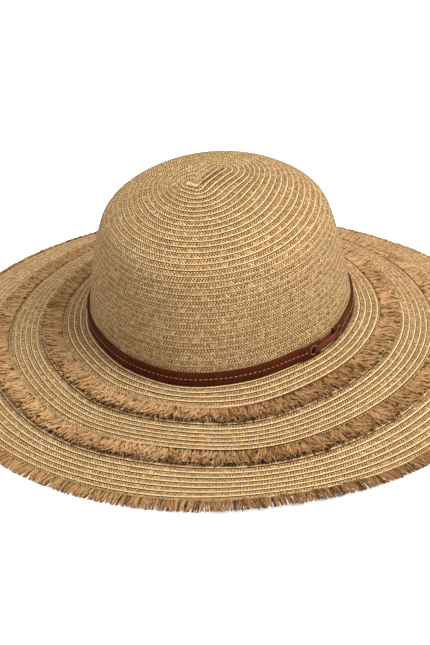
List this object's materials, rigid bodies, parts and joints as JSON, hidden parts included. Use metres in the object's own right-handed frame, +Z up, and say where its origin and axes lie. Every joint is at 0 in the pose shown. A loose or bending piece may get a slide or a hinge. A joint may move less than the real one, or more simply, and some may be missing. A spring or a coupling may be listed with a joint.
{
  "type": "sun hat",
  "caption": "Wide-brimmed straw sun hat with a domed crown, frayed fringes round the sloping brim and a narrow leather band joined by a strap.",
  "frame": {"origin": "on the surface that the hat rests on, under the middle of its outline", "axes": "+Z up out of the top of the crown, -Y towards the hat's front, +X towards the wearer's left, where the band's link is"},
  "size_m": [0.3966, 0.4084, 0.1356],
  "materials": {
    "straw": "sewn paper-straw braid, matt",
    "frayed_straw": "loose frayed paper straw, matt",
    "leather": "smooth brown leather, slightly glossy"
  },
  "bodies": {
    "root": {"crown": "straw", "brim": "straw", "fringe_inner": "frayed_straw", "fringe_middle": "frayed_straw", "fringe_outer": "frayed_straw", "hat_band": "leather", "band_link": "leather"}
  },
  "joints": []
}
